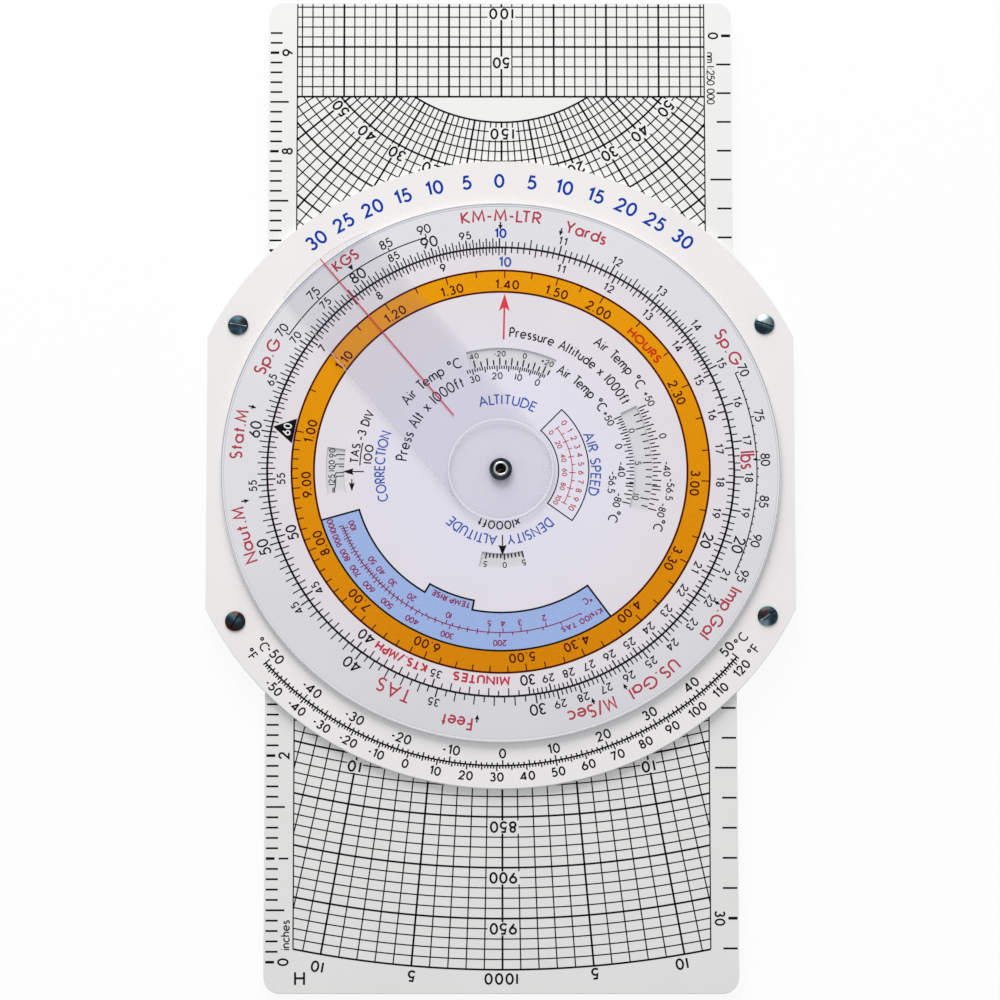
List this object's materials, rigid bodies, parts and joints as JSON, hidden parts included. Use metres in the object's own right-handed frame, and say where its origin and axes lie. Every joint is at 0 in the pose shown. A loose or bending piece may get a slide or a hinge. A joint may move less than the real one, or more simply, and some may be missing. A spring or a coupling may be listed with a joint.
{
  "type": "flight computer",
  "caption": "Slide-and-dial navigation computer: round body with a turning log-scale dial and clear cursor, a printed wind slide, and a turning azimuth disc on the back.",
  "frame": {"origin": "on the dial pivot's axis, in the plane of the back plate's outer face", "axes": "+X to the right across the calculator face, +Y along the slide towards its square grid, +Z out of the calculator face"},
  "size_m": [0.1424, 0.249, 0.0075],
  "materials": {
    "white_sheet": "satin",
    "slide_sheet": "satin",
    "scale_sheet": "satin",
    "window_sheet": "satin",
    "dial_sheet": "satin",
    "clear_cursor": "clear",
    "clear_disc": "clear, lightly frosted",
    "eyelet_steel": "plated",
    "dark_steel": "dark plated",
    "screw_steel": "plated"
  },
  "bodies": {
    "body": {"front_plate": "white_sheet", "outer_scale_ring": "scale_sheet", "window_scale_disc": "window_sheet", "pivot_eyelet": "eyelet_steel", "pivot_front_washer": "dark_steel", "pivot_rear_washer": "eyelet_steel", "side_rail_left": "white_sheet", "side_rail_right": "white_sheet", "disc_carrier": "white_sheet", "back_plate": "white_sheet", "corner_screws": "screw_steel", "corner_barrel_nuts": "screw_steel"},
    "dial": {"inner_dial": "dial_sheet"},
    "cursor": {"cursor_strip": "clear_cursor", "cursor_hub_washer": "clear_cursor"},
    "slide": {"wind_slide": "slide_sheet"},
    "azimuth_disc": {"azimuth_ring": "scale_sheet", "plotting_disc": "clear_disc"}
  },
  "joints": [
    {"name": "dial_turn", "type": "hinge", "parent": "body", "child": "dial", "pos_m": [0, 0, 0.0055], "axis": [0, 0, 1], "continuous": true},
    {"name": "cursor_turn", "type": "hinge", "parent": "body", "child": "cursor", "pos_m": [0, 0, 0.0065], "axis": [0, 0, 1], "continuous": true},
    {"name": "slide_travel", "type": "slide", "parent": "body", "child": "slide", "axis": [0, 1, 0], "range_m": [-0.105, 0.115]},
    {"name": "azimuth_turn", "type": "hinge", "parent": "body", "child": "azimuth_disc", "pos_m": [0, 0, 0.001], "axis": [0, 0, 1], "continuous": true}
  ]
}
